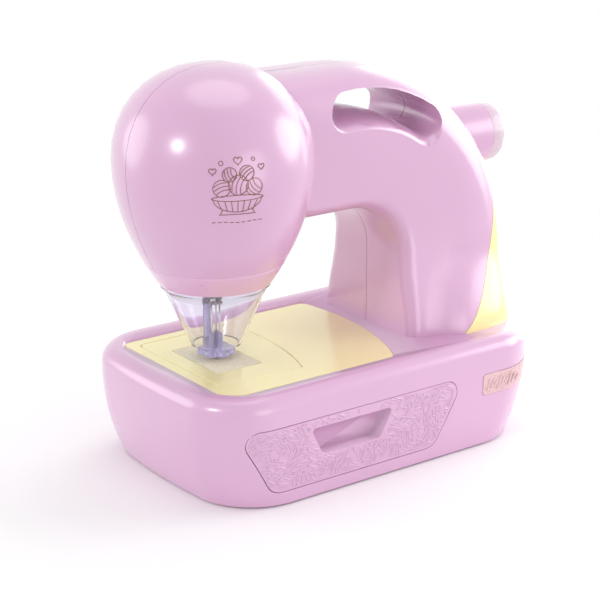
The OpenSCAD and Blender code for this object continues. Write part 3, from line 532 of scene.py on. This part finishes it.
def print_lines():
    """A basket of wool balls with hearts above it and a row of stitches below it."""
    out = [loop(0, -2.6, 12.6, 7.2, 180, 360), loop(0, -2.6, 13.4, 1.5), line((-8, -9.0), (-9, -11)),
           line((8, -9.0), (9, -11)), line((-9.6, -11), (9.6, -11))]
    for k in range(-3, 4):
        out.append(line((k * 3.4, -3.9), (k * 2.6, -9.3)))
    for cx, cy, r, turn in ((-8.2, 2.6, 4.3, 20), (0.2, 4.0, 5.0, 75), (8.4, 2.6, 4.3, 130),
                            (-4.2, 9.4, 3.6, 110), (4.6, 9.8, 3.8, 40)):
        out.append(loop(cx, cy, r, r))
        c, s = math.cos(math.radians(turn)), math.sin(math.radians(turn))
        for k in (-0.45, 0.0, 0.45):
            half = math.sqrt(1 - k * k) * 0.86
            out.append([(cx + r * (c * t - s * (k + 0.18 * (1 - t * t / half ** 2))),
                         cy + r * (s * t + c * (k + 0.18 * (1 - t * t / half ** 2))))
                        for t in (half * (i / 6 - 1) for i in range(13))])
    out += [heart(-12.6, 11.2, 1.9), heart(0.2, 16.2, 2.2), heart(12.4, 12.4, 1.7),
            loop(-8.4, 15.2, 1.1, 1.1, n=14), loop(8.2, 16.4, 0.9, 0.9, n=12)]
    for k in range(9):
        x = -12.4 + 3.1 * k - 0.8
        out.append(line((x, -15.2 + 0.25 * math.sin(k)), (x + 1.8, -15.2 + 0.25 * math.sin(k + 0.6))))
    return out


strands("head_print", [[on_head(u, v) for u, v in path] for path in print_lines()], 0.17, "print",
        "front_shell")


# Stage, light and camera

def stage_floor():
    """A pale floor that fades out away from the machine."""
    me = bpy.data.meshes.new("floor")
    s = 4.0
    me.from_pydata([(-s, -s, 0), (s, -s, 0), (s, s, 0), (-s, s, 0)], [], [(0, 1, 2, 3)])
    o = bpy.data.objects.new("floor", me)
    bpy.context.collection.objects.link(o)
    m = Nodes("floor_paint")
    m.link(Base_Color=m.ramp(m.noise(3), (0.4, (0.95, 0.945, 0.95)), (0.6, (0.97, 0.965, 0.965))))
    m.set(Roughness=0.9)
    away = m.add("ShaderNodeVectorMath", links={"Vector": m.coord}, operation="LENGTH").outputs["Value"]
    fade = m.add("ShaderNodeMapRange", {"From Min": 0.16, "From Max": 0.42}, {"Value": away},
                 interpolation_type="SMOOTHSTEP").outputs["Result"]
    mixed = m.add("ShaderNodeMixShader", links={"Fac": fade, 1: m.shader.outputs["BSDF"],
                  2: m.add("ShaderNodeBsdfTransparent").outputs["BSDF"]})
    m.tree.links.new(mixed.outputs["Shader"], m.tree.nodes["Material Output"].inputs["Surface"])
    me.materials.append(m.mat)


def world():
    """White surroundings, dimmer as a light source than as seen and mirrored."""
    w = bpy.data.worlds.new("studio")
    bpy.context.scene.world = w
    w.use_nodes = True
    t = w.node_tree
    back = t.nodes["Background"]
    path = t.nodes.new("ShaderNodeLightPath")
    top = None
    for name in ("Is Camera Ray", "Is Glossy Ray", "Is Transmission Ray"):
        if top is None:
            top = path.outputs[name]
            continue
        n = t.nodes.new("ShaderNodeMath")
        n.operation = "MAXIMUM"
        t.links.new(top, n.inputs[0])
        t.links.new(path.outputs[name], n.inputs[1])
        top = n.outputs[0]
    level = t.nodes.new("ShaderNodeMapRange")
    level.inputs["To Min"].default_value = 0.63
    level.inputs["To Max"].default_value = 1.0
    t.links.new(top, level.inputs["Value"])
    t.links.new(level.outputs["Result"], back.inputs["Strength"])
    back.inputs["Color"].default_value = (1, 1, 1, 1)


def lamp(name, at, to, size, power):
    d = bpy.data.lights.new(name, "AREA")
    d.shape, d.size, d.energy = "DISK", size, power
    o = bpy.data.objects.new(name, d)
    o.location = at
    o.rotation_euler = (Vector(to) - Vector(at)).to_track_quat("-Z", "Y").to_euler()
    bpy.context.collection.objects.link(o)


VIEW_AZ, VIEW_EL, VIEW_DIST = math.radians(-36.49), math.radians(18.04), 0.96287
VIEW_AT, FOCAL_PX, PICTURE_PX, SENSOR = Vector((-0.01196, 0, 0.08295)), 1756.4, 600, 36


def camera():
    az, el = VIEW_AZ, VIEW_EL
    d = Vector((-math.sin(az) * math.cos(el), math.cos(az) * math.cos(el), -math.sin(el)))
    cam = bpy.data.cameras.new("camera")
    cam.lens, cam.sensor_width, cam.sensor_height = FOCAL_PX * SENSOR / PICTURE_PX, SENSOR, SENSOR
    o = bpy.data.objects.new("camera", cam)
    o.location = VIEW_AT - d * VIEW_DIST
    o.rotation_euler = d.to_track_quat("-Z", "Y").to_euler()
    bpy.context.collection.objects.link(o)
    bpy.context.scene.camera = o


stage_floor()
world()
lamp("key", (-1.0, -0.25, 0.55), (-0.05, 0, 0.14), 0.2, 2.4)
lamp("left", (-0.75, 0.7, 0.35), (0, 0, 0.1), 0.7, 2.2)
lamp("right", (0.9, -0.45, 0.4), (0, 0, 0.12), 0.7, 4.6)
lamp("side", (0.9, 0.3, 0.3), (0.05, 0, 0.14), 1.0, 4.2)
lamp("top", (0.1, 0.1, 1.2), (0, 0, 0.1), 0.9, 2.5)
lamp("front", (0.1, -1.1, 0.1), (0, 0, 0.04), 0.7, 1.9)
camera()
bpy.context.scene.view_settings.view_transform = "Standard"
